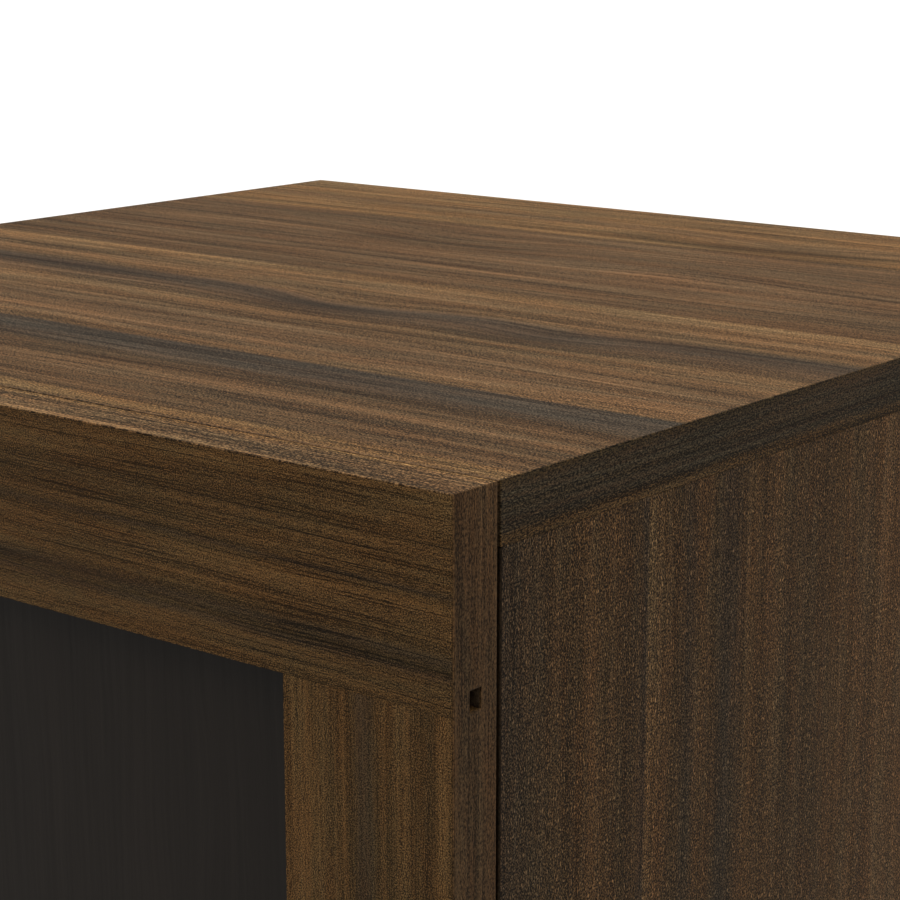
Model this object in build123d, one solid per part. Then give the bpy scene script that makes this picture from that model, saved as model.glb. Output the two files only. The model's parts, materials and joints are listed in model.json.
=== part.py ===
from build123d import *
import os

os.makedirs("parts", exist_ok=True)

# A cube storage unit: a box of five laminated boards with a thin back, closed by one framed door.
# Millimetres. +X is to the right, -Y is the side that the door faces, +Z is up.
# The origin is on the floor, under the middle of the unit's outer box, knuckles and knob included.

# Carcass
width = 400.0
carcass_height = 400.0
carcass_depth = 388.0
board = 15.0
band = 0.5

# Door frame and the thin black panel that its grooves hold
door_gap = 1.2
door_thickness = 15.0
rail_height = 50.0
stile_width = 50.0
groove_front = 5.5
groove_width = 4.0
groove_depth = 5.0
panel_side_clearance = 0.1
panel_edge_clearance = 1.0

# Back panel, which slides in a groove all round the carcass
back_thickness = 3.0
back_setback = 8.0
back_groove_depth = 7.0
back_side_clearance = 0.1
back_edge_clearance = 1.0

# Cam fittings and dowels between the side panels and the top and base panels
joint_setback = 50.0
dowel_spacing = 32.0
cam_radius = 7.5
cam_length = 12.2
cam_setback = 24.0
cam_recess = 0.3
cam_cross_size = 7.5
cam_cross_depth = 1.6
bolt_radius = 3.4
bolt_head_radius = 3.3
bolt_neck_radius = 2.0
bolt_head_length = 3.0
bolt_neck_length = 6.0
bolt_thread_radius = 2.9
bolt_thread_depth = 11.0
bolt_bore_radius = 4.0
cover_radius = 8.5
cover_thickness = 0.8
dowel_radius = 4.0
dowel_in_panel = 10.0
dowel_in_side = 20.0

# Dowels in the door's corners
door_dowel_radius = 3.0
door_dowel_depth = 15.0
door_dowel_inset = 13.0

# Flush hinges: one leaf folds into a window in the other, so the gap holds a single thickness
hinge_inset = 70.0
hinge_length = 50.0
hinge_leaf_width = 14.0
hinge_window_length = 26.0
hinge_window_width = 10.5
hinge_leaf_clearance = 0.1
hinge_nest_clearance = 0.3
knuckle_radius = 2.4
knuckle_side_clearance = 0.3
hinge_pin_radius = 1.2
hinge_pin_clearance = 0.05
hinge_pin_head = 0.6
hinge_pin_head_radius = 1.9
hinge_screw_head_radius = 2.4
hinge_screw_radius = 1.2
hinge_screw_length = 12.0

# Magnetic catch under the top panel, and its strike plate on the door
catch_inset = 45.0
catch_length = 32.0
catch_depth = 15.0
catch_height = 13.0
catch_wall = 1.6
catch_ear_length = 9.0
catch_ear_height = 3.0
pole_thickness = 1.0
pole_setback = 0.2
strike_length = 36.0
strike_height = 13.0
strike_gap = 0.2

# Small fastenings
screw_head_radius = 3.0
screw_radius = 1.5
screw_length = 12.0
fit_clearance = 0.05

# A screwdriver's cross: its span and depth as shares of the head's radius, its arm as a share of the span
cross_span_share = 1.1
cross_depth_share = 0.4
cross_arm_share = 0.2

# Knob, door bumpers and floor glides
knob_projection = 22.0
knob_radius = 13.0
knob_face_radius = 10.4
knob_foot_radius = 8.0
knob_neck_radius = 5.0
knob_foot_length = 1.8
knob_neck_start = 5.5
knob_neck_end = 9.9
knob_head_start = 16.5
knob_head_end = 19.8
knob_screw_radius = 2.0
knob_screw_engagement = 9.0
knob_screw_head_radius = 4.0
knob_screw_crown_radius = 2.8
knob_screw_head = 1.8
bumper_radius = 4.0
bumper_inset = 22.0
bumper_clearance = 0.1
glide_radius = 10.0
glide_height = 4.0
glide_inset = 27.0
nail_radius = 0.9
nail_head_radius = 2.6
nail_head = 1.0
nail_recess = 0.8
nail_in_base = 11.0

# Places that follow from the sizes above
door_front = 0.0
door_back = door_front + door_thickness
carcass_front = door_back + door_gap
carcass_back = carcass_front + carcass_depth
base_under = glide_height
base_top = base_under + board
top_over = base_under + carcass_height
top_under = top_over - board
side_outer = width / 2
side_inner = side_outer - board
knob_x = side_outer - stile_width / 2
knob_z = (base_under + top_over) / 2
groove_start = door_front + groove_front
back_panel_back = carcass_back - back_setback
back_panel_front = back_panel_back - back_thickness
pin_x = -side_outer - knuckle_radius - knuckle_side_clearance
pin_y = (door_back + carcass_front) / 2
leaf_thickness = door_gap - hinge_leaf_clearance
hinge_levels = (base_under + hinge_inset, top_over - hinge_inset)

# The pieces are drawn about the middle of the door's front, then moved to the origin. The outer
# box runs from the hinge knuckles to the right side, and from the knob's face to the back.
middle_x = (pin_x - knuckle_radius + side_outer) / 2
middle_y = (door_front - knob_projection + carcass_back) / 2
to_origin = Pos(-middle_x, -middle_y, 0)

FORWARD, BACKWARD = (0, -1, 0), (0, 1, 0)
DOWN, UP = (0, 0, -1), (0, 0, 1)


def block(low, high):
    """A box between two opposite corners."""
    centre = [(a + b) / 2 for a, b in zip(low, high)]
    size = [b - a for a, b in zip(low, high)]
    return Pos(*centre) * Box(*size)


def turned(start, direction, profile):
    """A turned piece: (radius, distance) points spun about the line from start along direction."""
    outline = [(0, profile[0][1]), *profile, (0, profile[-1][1])]
    section = Plane.XZ * make_face(Polyline(*outline, close=True))
    return Plane(origin=start, z_dir=direction) * revolve(section, Axis.Z)


def rod(start, direction, length, radius):
    """A plain round bar, also used as a drilled hole."""
    return turned(start, direction, [(radius, 0), (radius, length)])


def along(start, direction, distance):
    """The point at a distance from start along direction."""
    return tuple(s + d * distance for s, d in zip(start, direction))


def wood_screw(start, direction, length, head_radius, shank_radius, grow=0.0):
    """A countersunk screw driven along direction from a flush head. grow gives its hole."""
    head_depth = head_radius - shank_radius
    head, shank = head_radius + grow, shank_radius + grow
    return turned(start, direction, [
        (head, 0),
        (shank, head_depth),
        (shank, length - shank_radius * 2),
        (shank / 4, length + grow),
    ])


def cross_recess(start, direction, size, depth):
    """The cross that a screwdriver turns, cut below a screw's or a cam's face."""
    arm_width = size * cross_arm_share
    cross = Box(size, arm_width, depth * 2) + Box(arm_width, size, depth * 2)
    return Plane(origin=start, z_dir=direction) * cross


def finished_screw(start, direction, length, head_radius, shank_radius):
    """A countersunk screw with its cross recess."""
    screw = wood_screw(start, direction, length, head_radius, shank_radius)
    span = head_radius * cross_span_share
    return screw - cross_recess(start, direction, span, head_radius * cross_depth_share)


def save(node, *pieces):
    """Write one node: its pieces stay separate solids."""
    solids = [solid for piece in pieces for solid in (to_origin * piece).solids()]
    export_step(Compound(label=node, children=solids), f"parts/{node}.step")


# Carcass joints. Each is a cam fitting and a dowel, at the front and the back of every corner.

def carcass_joints():
    """Each joint as its side, its place on the side panel's end, and the way down into that end."""
    for side in (-1, 1):
        x = side * (side_outer - board / 2)
        for level, inward in ((base_top, UP), (top_under, DOWN)):
            for y, step in ((carcass_front + joint_setback, 1), (carcass_back - joint_setback, -1)):
                yield side, (x, y, level), (x, y + step * dowel_spacing, level), inward


def opposite(direction):
    return tuple(-d for d in direction)


def cam_face(side, bolt_point, inward):
    """The middle of the cam's open face, on the side panel's inner surface."""
    return (side * side_inner, bolt_point[1], along(bolt_point, inward, cam_setback)[2])


def side_panel_holes(side):
    """Everything drilled in one side panel for its cams, bolts and dowels."""
    holes = []
    for joint_side, bolt_point, dowel_point, inward in carcass_joints():
        if joint_side == side:
            face = cam_face(side, bolt_point, inward)
            cam_depth = cam_recess + cam_length + cam_recess
            holes.append(rod(bolt_point, inward, cam_setback, bolt_bore_radius))
            holes.append(rod(face, (side, 0, 0), cam_depth, cam_radius))
            holes.append(rod(dowel_point, inward, dowel_in_side + cam_recess, dowel_radius + fit_clearance))
    return holes


def cross_panel_holes(level):
    """Everything drilled in the top or base panel, whose inner face is at this level."""
    holes = []
    for _, bolt_point, dowel_point, inward in carcass_joints():
        if bolt_point[2] == level:
            outward = opposite(inward)
            thread_bore = bolt_thread_radius + fit_clearance
            holes.append(rod(bolt_point, outward, bolt_thread_depth + cam_recess, thread_bore))
            holes.append(rod(dowel_point, outward, dowel_in_panel + cam_recess, dowel_radius + fit_clearance))
    return holes


def cam_disc(side, bolt_point, inward):
    """A cam: a drum with a pocket that takes the bolt's head, and a cross in its face."""
    face = cam_face(side, bolt_point, inward)
    outward = (side, 0, 0)
    drum = rod(along(face, outward, cam_recess), outward, cam_length, cam_radius - fit_clearance)
    pocket = rod(bolt_point, inward, cam_setback + bolt_head_radius + fit_clearance, bolt_bore_radius)
    return drum - pocket - cross_recess(along(face, outward, cam_recess), outward, cam_cross_size, cam_cross_depth)


def cam_bolt(bolt_point, inward):
    """A cam bolt: threaded foot in the cross panel, shaft, neck, and the head that the cam pulls."""
    foot = along(bolt_point, inward, -bolt_thread_depth)
    head_end = bolt_thread_depth + cam_setback + bolt_head_radius - fit_clearance
    head_start = head_end - bolt_head_length
    neck_start = head_start - bolt_neck_length
    return turned(foot, inward, [
        (bolt_thread_radius, 0),
        (bolt_thread_radius, bolt_thread_depth),
        (bolt_radius, bolt_thread_depth),
        (bolt_radius, neck_start),
        (bolt_neck_radius, neck_start),
        (bolt_neck_radius, head_start),
        (bolt_head_radius, head_start),
        (bolt_head_radius, head_end),
    ])


def cam_cover(side, bolt_point, inward):
    """A thin stuck-on cap over the cam."""
    face = cam_face(side, bolt_point, inward)
    return rod(face, (-side, 0, 0), cover_thickness, cover_radius)


def carcass_dowel(dowel_point, inward):
    """A glued dowel with chamfered ends."""
    chamfer = dowel_radius / 4
    length = dowel_in_panel + dowel_in_side
    return turned(along(dowel_point, inward, -dowel_in_panel), inward, [
        (dowel_radius - chamfer, 0),
        (dowel_radius, chamfer),
        (dowel_radius, length - chamfer),
        (dowel_radius - chamfer, length),
    ])


save("cam_discs", *[cam_disc(side, bolt, inward) for side, bolt, _, inward in carcass_joints()])
save("cam_bolts", *[cam_bolt(bolt, inward) for _, bolt, _, inward in carcass_joints()])
save("cam_covers", *[cam_cover(side, bolt, inward) for side, bolt, _, inward in carcass_joints()])
save("carcass_dowels", *[carcass_dowel(dowel, inward) for _, _, dowel, inward in carcass_joints()])


# Hinges. The larger leaf is on the side panel's front edge, the smaller one on the door's back.

def knuckle(level, low, high):
    """One knuckle's barrel, between two heights measured from the hinge's middle."""
    return rod((pin_x, pin_y, level + low), UP, high - low, knuckle_radius)


def hinge_bore(level):
    bore_radius = hinge_pin_radius + hinge_pin_clearance
    return rod((pin_x, pin_y, level - hinge_length), UP, hinge_length * 2, bore_radius)


def carcass_leaf_screws(level):
    """Head places of the two screws in the larger leaf, with the way that they are driven."""
    x = -side_outer + hinge_leaf_width / 2
    z = (hinge_length + hinge_window_length) / 4
    return [((x, carcass_front - leaf_thickness, level + sign * z), BACKWARD) for sign in (-1, 1)]


def door_leaf_screws(level):
    """Head places of the two screws in the smaller leaf, with the way that they are driven."""
    x = -side_outer + hinge_window_width / 2
    z = hinge_window_length / 4
    return [((x, door_back + leaf_thickness, level + sign * z), FORWARD) for sign in (-1, 1)]


def hinge_screw_hole(place):
    start, direction = place
    return wood_screw(
        start, direction, hinge_screw_length, hinge_screw_head_radius, hinge_screw_radius, fit_clearance
    )


def hinge_screw(place):
    start, direction = place
    return finished_screw(start, direction, hinge_screw_length, hinge_screw_head_radius, hinge_screw_radius)


def carcass_leaf(level):
    """The larger leaf: a plate with a window open towards the pin, and a knuckle at each end."""
    half, window = hinge_length / 2, hinge_window_length / 2
    back, front = carcass_front, carcass_front - leaf_thickness
    plate = block(
        (pin_x, front, level - half),
        (-side_outer + hinge_leaf_width, back, level + half),
    )
    opening = block(
        (pin_x - knuckle_radius, front - knuckle_radius, level - window),
        (-side_outer + hinge_window_width, back + knuckle_radius, level + window),
    )
    barrels = knuckle(level, -half, -window) + knuckle(level, window, half)
    leaf = plate - opening + barrels - hinge_bore(level)
    for place in carcass_leaf_screws(level):
        leaf -= hinge_screw_hole(place)
    return leaf


def door_leaf(level):
    """The smaller leaf: it lies in the window, with the middle knuckle on its edge."""
    half = hinge_window_length / 2 - hinge_nest_clearance
    plate = block(
        (pin_x, door_back, level - half),
        (-side_outer + hinge_window_width - hinge_nest_clearance, door_back + leaf_thickness, level + half),
    )
    leaf = plate + knuckle(level, -half, half) - hinge_bore(level)
    for place in door_leaf_screws(level):
        leaf -= hinge_screw_hole(place)
    return leaf


def hinge_pin(level):
    """The pin, with a low flat head at each end."""
    head_radius = hinge_pin_head_radius
    half = hinge_length / 2
    return turned((pin_x, pin_y, level - half - hinge_pin_head), UP, [
        (head_radius, 0),
        (head_radius, hinge_pin_head),
        (hinge_pin_radius, hinge_pin_head),
        (hinge_pin_radius, hinge_pin_head + hinge_length),
        (head_radius, hinge_pin_head + hinge_length),
        (head_radius, hinge_pin_head * 2 + hinge_length),
    ])


carcass_leaf_places = [place for level in hinge_levels for place in carcass_leaf_screws(level)]
door_leaf_places = [place for level in hinge_levels for place in door_leaf_screws(level)]
save("hinge_carcass_leaves", *[carcass_leaf(level) for level in hinge_levels])
save("hinge_door_leaves", *[door_leaf(level) for level in hinge_levels])
save("hinge_pins", *[hinge_pin(level) for level in hinge_levels])
save("hinge_carcass_screws", *[hinge_screw(place) for place in carcass_leaf_places])
save("hinge_door_screws", *[hinge_screw(place) for place in door_leaf_places])


# Magnetic catch. A magnet between two steel poles, in a case that hangs under the top panel.

catch_x = side_inner - catch_inset
catch_low = top_under - catch_height
catch_middle = (top_under + catch_low) / 2
pole_front = carcass_front + pole_setback
strike_thickness = door_gap - strike_gap
pocket_half_length = catch_length / 2 - catch_wall
pocket_back = carcass_front + catch_depth - catch_wall
pocket_half_height = catch_height / 2 - catch_wall


def catch_screw_places():
    """Head places of the two screws that hold the case up to the top panel."""
    reach = (catch_length + catch_ear_length) / 2
    y = carcass_front + catch_depth / 2
    return [((catch_x + sign * reach, y, top_under - catch_ear_height), UP) for sign in (-1, 1)]


def catch_case():
    body = block(
        (catch_x - catch_length / 2, carcass_front, catch_low),
        (catch_x + catch_length / 2, carcass_front + catch_depth, top_under),
    )
    ears = block(
        (catch_x - catch_length / 2 - catch_ear_length, carcass_front, top_under - catch_ear_height),
        (catch_x + catch_length / 2 + catch_ear_length, carcass_front + catch_depth, top_under),
    )
    pocket = block(
        (catch_x - pocket_half_length, carcass_front - catch_wall, catch_middle - pocket_half_height),
        (catch_x + pocket_half_length, pocket_back, catch_middle + pocket_half_height),
    )
    case = body + ears - pocket
    for start, direction in catch_screw_places():
        case -= wood_screw(start, direction, screw_length, screw_head_radius, screw_radius, fit_clearance)
    return case


def pole_plate(sign):
    """A steel pole, lying on the pocket's floor or ceiling."""
    outer = catch_middle + sign * pocket_half_height
    inner = outer - sign * pole_thickness
    return block(
        (catch_x - pocket_half_length, pole_front, min(outer, inner)),
        (catch_x + pocket_half_length, pocket_back, max(outer, inner)),
    )


def magnet():
    """A ferrite block that fills the space between the poles, a little behind their ends."""
    reach = pocket_half_height - pole_thickness
    return block(
        (catch_x - pocket_half_length, pole_front + pole_thickness, catch_middle - reach),
        (catch_x + pocket_half_length, pocket_back, catch_middle + reach),
    )


strike_screw_place = (catch_x, door_back + strike_thickness, catch_middle)


def strike_plate():
    plate = block(
        (catch_x - strike_length / 2, door_back, catch_middle - strike_height / 2),
        (catch_x + strike_length / 2, door_back + strike_thickness, catch_middle + strike_height / 2),
    )
    return plate - strike_screw_hole()


def strike_screw_hole():
    return wood_screw(
        strike_screw_place, FORWARD, screw_length, screw_head_radius, screw_radius, fit_clearance
    )


save("catch_case", catch_case())
save("catch_pole_plates", pole_plate(-1), pole_plate(1))
save("catch_magnet", magnet())
save("catch_screws", *[
    finished_screw(start, direction, screw_length, screw_head_radius, screw_radius)
    for start, direction in catch_screw_places()
])
save("catch_strike_plate", strike_plate())
save("catch_strike_screw", finished_screw(
    strike_screw_place, FORWARD, screw_length, screw_head_radius, screw_radius
))


# Floor glides: plastic discs nailed up into the base panel.

def glide_places():
    for x in (-side_outer + glide_inset, side_outer - glide_inset):
        for y in (carcass_front + glide_inset, carcass_back - glide_inset):
            yield x, y


def floor_glide(x, y):
    bevel = glide_height / 4
    disc = turned((x, y, 0), UP, [
        (glide_radius - bevel, 0),
        (glide_radius, bevel),
        (glide_radius, glide_height),
    ])
    head_room = rod((x, y, 0), UP, nail_recess + nail_head, nail_head_radius + fit_clearance)
    bore = rod((x, y, 0), UP, glide_height, nail_radius + fit_clearance)
    return disc - head_room - bore


def glide_nail(x, y):
    tip = base_under + nail_in_base
    return turned((x, y, 0), UP, [
        (nail_head_radius, nail_recess),
        (nail_head_radius, nail_recess + nail_head),
        (nail_radius, nail_recess + nail_head),
        (nail_radius, tip - nail_radius * 2),
        (nail_radius / 4, tip),
    ])


def nail_hole(x, y):
    return rod((x, y, base_under), UP, nail_in_base + fit_clearance, nail_radius + fit_clearance)


save("floor_glides", *[floor_glide(x, y) for x, y in glide_places()])
save("glide_nails", *[glide_nail(x, y) for x, y in glide_places()])


# Carcass boards. Bands cover the front edges, and the side edges of the top and base panels.

back_groove_front = back_panel_front - back_side_clearance
back_groove_back = back_panel_back + back_side_clearance


def back_groove():
    """The space that the back panel's edges run in, as far as its groove's bottom."""
    reach = back_groove_depth
    return block(
        (-side_inner - reach, back_groove_front, base_top - reach),
        (side_inner + reach, back_groove_back, top_under + reach),
    )


def cross_panel(low, high, inner_level, holes):
    """The top or base panel: it lies over the side panels and is as wide as the unit."""
    panel = block(
        (-side_outer + band, carcass_front + band, low),
        (side_outer - band, carcass_back, high),
    )
    panel -= back_groove()
    for hole in holes + cross_panel_holes(inner_level):
        panel -= hole
    return panel


def side_panel(side, holes):
    """A side panel, which stands between the base and top panels."""
    inner, outer = sorted((side * side_inner, side * side_outer))
    panel = block((inner, carcass_front + band, base_top), (outer, carcass_back, top_under))
    panel -= back_groove()
    for hole in holes + side_panel_holes(side):
        panel -= hole
    return panel


def cross_panel_side_bands(low, high):
    return [
        block((-side_outer, carcass_front, low), (-side_outer + band, carcass_back, high)),
        block((side_outer - band, carcass_front, low), (side_outer, carcass_back, high)),
    ]


def cross_panel_front_band(low, high):
    return block(
        (-side_outer + band, carcass_front, low),
        (side_outer - band, carcass_front + band, high),
    )


def side_panel_front_band(side):
    inner, outer = sorted((side * side_inner, side * side_outer))
    return block((inner, carcass_front, base_top), (outer, carcass_front + band, top_under))


carcass_leaf_holes = [hinge_screw_hole(place) for place in carcass_leaf_places]
catch_holes = [
    wood_screw(start, direction, screw_length, screw_head_radius, screw_radius, fit_clearance)
    for start, direction in catch_screw_places()
]
nail_holes = [nail_hole(x, y) for x, y in glide_places()]
left_front_band = side_panel_front_band(-1)
for hole in carcass_leaf_holes:
    left_front_band -= hole

save("top_panel", cross_panel(top_under, top_over, top_under, catch_holes))
save("base_panel", cross_panel(base_under, base_top, base_top, nail_holes))
save("side_panel_left", side_panel(-1, carcass_leaf_holes))
save("side_panel_right", side_panel(1, []))
save("top_panel_side_bands", *cross_panel_side_bands(top_under, top_over))
save("base_panel_side_bands", *cross_panel_side_bands(base_under, base_top))
save(
    "carcass_front_bands",
    cross_panel_front_band(top_under, top_over),
    cross_panel_front_band(base_under, base_top),
    left_front_band,
    side_panel_front_band(1),
)

back_reach = back_groove_depth - back_edge_clearance
save("back_panel", block(
    (-side_inner - back_reach, back_panel_front, base_top - back_reach),
    (side_inner + back_reach, back_panel_back, top_under + back_reach),
))


# Door. The rails run the full width and the stiles stand between them, all with a panel groove.

door_low, door_high = base_under, top_over
rail_edges = {"top": (door_high - rail_height, door_high), "bottom": (door_low, door_low + rail_height)}
stile_inner = side_outer - stile_width
groove_end = groove_start + groove_width


def rail_groove():
    """The grooves in both rails. They run out through the door's side edges."""
    low, high = door_low + rail_height, door_high - rail_height
    return [
        block((-side_outer, groove_start, low - groove_depth), (side_outer, groove_end, low)),
        block((-side_outer, groove_start, high), (side_outer, groove_end, high + groove_depth)),
    ]


def door_dowel_places():
    """Where the corner dowels cross from rail to stile, and the way up or down into the rail."""
    y = door_front + door_thickness / 2
    for side in (-1, 1):
        for inset in (door_dowel_inset, stile_width - door_dowel_inset):
            x = side * (side_outer - inset)
            yield (x, y, door_low + rail_height), DOWN
            yield (x, y, door_high - rail_height), UP


def door_dowel(start, into_rail, grow=0.0):
    """A corner dowel, half in the rail and half in the stile. grow gives its hole."""
    tail = along(start, into_rail, -door_dowel_depth - grow)
    return rod(tail, into_rail, 2 * (door_dowel_depth + grow), door_dowel_radius + grow)


def knob_screw_hole():
    return rod((knob_x, door_back, knob_z), FORWARD, door_thickness, knob_screw_radius + fit_clearance)


dowel_holes = [door_dowel(start, into_rail, fit_clearance) for start, into_rail in door_dowel_places()]
door_leaf_holes = [hinge_screw_hole(place) for place in door_leaf_places]


def door_rail(end):
    """A rail, without the bands on its long outer edge and its ends."""
    low, high = rail_edges[end]
    band_low, band_high = (0, band) if end == "top" else (band, 0)
    rail = block(
        (-side_outer + band, door_front, low + band_low),
        (side_outer - band, door_back, high - band_high),
    )
    for hole in [*rail_groove(), *dowel_holes, strike_screw_hole()]:
        rail -= hole
    return rail


def door_stile(side, holes):
    """A stile, grooved along its inner edge."""
    inner, outer = sorted((side * stile_inner, side * (side_outer - band)))
    low, high = door_low + rail_height, door_high - rail_height
    stile = block((inner, door_front, low), (outer, door_back, high))
    groove_reach = stile_inner + groove_depth
    stile -= block((-groove_reach, groove_start, low), (groove_reach, groove_end, high))
    for hole in [*dowel_holes, *holes]:
        stile -= hole
    return stile


def door_side_band(side, holes):
    """The band down one side of the door, notched where the rails' grooves run out."""
    inner, outer = sorted((side * (side_outer - band), side * side_outer))
    strip = block((inner, door_front, door_low), (outer, door_back, door_high))
    for hole in [*rail_groove(), *holes]:
        strip -= hole
    return strip


def door_end_band(low, high):
    return block((-side_outer + band, door_front, low), (side_outer - band, door_back, high))


panel_reach = groove_depth - panel_edge_clearance
save("door_top_rail", door_rail("top"))
save("door_bottom_rail", door_rail("bottom"))
save("door_stile_left", door_stile(-1, door_leaf_holes))
save("door_stile_right", door_stile(1, [knob_screw_hole()]))
save("door_band_left", door_side_band(-1, door_leaf_holes))
save("door_band_right", door_side_band(1, []))
save("door_band_top", door_end_band(door_high - band, door_high))
save("door_band_bottom", door_end_band(door_low, door_low + band))
save("door_corner_dowels", *[door_dowel(start, into_rail) for start, into_rail in door_dowel_places()])
save("door_panel", block(
    (
        -stile_inner - panel_reach,
        groove_start + panel_side_clearance,
        door_low + rail_height - panel_reach,
    ),
    (
        stile_inner + panel_reach,
        groove_end - panel_side_clearance,
        door_high - rail_height + panel_reach,
    ),
))


# Knob, with the machine screw that holds it from behind the stile, and two bumpers.

def knob():
    body = turned((knob_x, door_front, knob_z), FORWARD, [
        (knob_foot_radius, 0),
        (knob_foot_radius, knob_foot_length),
        (knob_neck_radius, knob_neck_start),
        (knob_neck_radius, knob_neck_end),
        (knob_radius, knob_head_start),
        (knob_radius, knob_head_end),
        (knob_face_radius, knob_projection),
    ])
    threaded_hole = rod(
        (knob_x, door_front, knob_z),
        FORWARD,
        knob_screw_engagement + fit_clearance,
        knob_screw_radius + fit_clearance,
    )
    return body - threaded_hole


def knob_screw():
    length = knob_screw_head + door_thickness + knob_screw_engagement
    head_top = (knob_x, door_back + knob_screw_head, knob_z)
    screw = turned(head_top, FORWARD, [
        (knob_screw_crown_radius, 0),
        (knob_screw_head_radius, knob_screw_head / 2),
        (knob_screw_head_radius, knob_screw_head),
        (knob_screw_radius, knob_screw_head),
        (knob_screw_radius, length),
    ])
    return screw - cross_recess(head_top, FORWARD, knob_screw_head_radius, knob_screw_head / 2)


def door_bumper(z):
    """A soft disc that meets the side panel's front edge just before the door would."""
    x = side_outer - board / 2
    return rod((x, door_back, z), BACKWARD, door_gap - bumper_clearance, bumper_radius)


save("knob", knob())
save("knob_screw", knob_screw())
save("door_bumpers", door_bumper(door_low + bumper_inset), door_bumper(door_high - bumper_inset))
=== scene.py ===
import json
import math

import bmesh
import bpy
from mathutils import Matrix, Vector


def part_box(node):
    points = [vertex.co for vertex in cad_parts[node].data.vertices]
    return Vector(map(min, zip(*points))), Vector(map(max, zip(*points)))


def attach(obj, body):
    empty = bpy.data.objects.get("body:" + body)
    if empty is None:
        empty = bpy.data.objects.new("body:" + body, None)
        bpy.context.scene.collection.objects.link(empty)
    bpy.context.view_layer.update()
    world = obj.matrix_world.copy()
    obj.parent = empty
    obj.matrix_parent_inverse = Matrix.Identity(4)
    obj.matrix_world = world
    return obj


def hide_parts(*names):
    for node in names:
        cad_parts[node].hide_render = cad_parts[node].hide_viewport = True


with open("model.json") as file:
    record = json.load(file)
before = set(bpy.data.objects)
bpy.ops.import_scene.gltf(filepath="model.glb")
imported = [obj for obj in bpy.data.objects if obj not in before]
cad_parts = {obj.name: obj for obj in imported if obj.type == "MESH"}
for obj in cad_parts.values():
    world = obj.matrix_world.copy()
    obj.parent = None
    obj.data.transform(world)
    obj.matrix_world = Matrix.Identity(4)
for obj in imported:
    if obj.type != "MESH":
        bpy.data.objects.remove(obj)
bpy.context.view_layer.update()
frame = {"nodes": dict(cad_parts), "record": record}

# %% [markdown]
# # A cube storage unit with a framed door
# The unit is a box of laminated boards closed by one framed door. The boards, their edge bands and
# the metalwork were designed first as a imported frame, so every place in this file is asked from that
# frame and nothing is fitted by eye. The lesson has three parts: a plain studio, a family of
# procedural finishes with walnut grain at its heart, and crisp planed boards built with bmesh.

MM = 0.001

# %% [markdown]
# ## The corner that everything is measured from
# A cabinet maker marks out a unit from one good corner. Here it is the door's front right corner at
# the top, where rail, edge band and top panel meet. Distances to the right, to the back and up from
# it are called X, Y and Z in millimetres below, so left, forward and down are negative.

# %% The marking-out corner
band_low, band_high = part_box("door_band_right")
corner = Vector((band_high.x, band_low.y, band_high.z))
print("Marking-out corner:", [round(v, 4) for v in corner])


def from_corner(x, y, z):
    """A point given in millimetres from the marking-out corner."""
    return corner + Vector((x, y, z)) * MM


# %% [markdown]
# ## Camera
# The unit is looked at from the front right and a little above, close to the corner, through a long
# lens that keeps the board edges nearly parallel. A direction vector turned into a rotation is
# easier to reason about than three Euler angles, and it leaves the camera without any roll.

# %% Camera
camera_data = bpy.data.cameras.new("camera")
camera_data.sensor_width = 36.0
camera_data.lens = 94.9
camera_data.clip_end = 200.0
camera = bpy.data.objects.new("camera", camera_data)
bpy.context.scene.collection.objects.link(camera)
camera.location = from_corner(302.2, -376.7, 122.5)
heading, dip = math.radians(38.84), math.radians(13.16)
look = Vector((
    -math.sin(heading) * math.cos(dip),
    math.cos(heading) * math.cos(dip),
    -math.sin(dip),
))
camera.rotation_euler = look.to_track_quat("-Z", "Y").to_euler()
bpy.context.scene.camera = camera
print("Camera is", round((camera.location - corner).length, 3), "m from the corner")


# %% [markdown]
# ## Short hands for node work
# A finish is a small graph. Wiring it with the long API calls hides the recipe, so a few helpers do
# the wiring: one joins or sets a socket, one adds a node, and the others add a node of one kind and
# hand back its result. After that a material reads almost like a formula.

# %% Node helpers
def put(tree, socket, value):
    """Joins the socket to another node's output, or sets it to a plain value."""
    if isinstance(value, bpy.types.NodeSocket):
        tree.links.new(value, socket)
    else:
        socket.default_value = value


def add(tree, kind, inputs=None, **settings):
    """Adds a node, with its settings and its inputs by name or number."""
    made = tree.nodes.new(kind)
    for name, value in settings.items():
        setattr(made, name, value)
    for key, value in (inputs or {}).items():
        put(tree, made.inputs[key], value)
    return made


def maths(tree, operation, *values):
    return add(tree, "ShaderNodeMath", dict(enumerate(values)), operation=operation).outputs[0]


def vector_maths(tree, operation, *values):
    made = add(tree, "ShaderNodeVectorMath", dict(enumerate(values)), operation=operation)
    return made.outputs[0]


def scaled(tree, colour, amount):
    """A colour made lighter or darker."""
    return add(tree, "ShaderNodeVectorMath", {0: colour, "Scale": amount}, operation="SCALE").outputs[0]


def ramp(tree, value, stops):
    """The colour at a value, from (place, colour) stops."""
    made = add(tree, "ShaderNodeValToRGB", {0: value})
    elements = made.color_ramp.elements
    while len(elements) < len(stops):
        elements.new(0.5)
    for element, (place, colour) in zip(elements, stops):
        element.position = place
        element.color = (*colour, 1)
    return made.outputs["Color"]


def noise(tree, place, stretch, detail=2.0, roughness=0.5):
    """Fractal noise, stretched by a different scale along each axis of its place."""
    stretched = vector_maths(tree, "MULTIPLY", place, stretch)
    inputs = {"Vector": stretched, "Scale": 1.0, "Detail": detail, "Roughness": roughness}
    return add(tree, "ShaderNodeTexNoise", inputs).outputs["Fac"]


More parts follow.
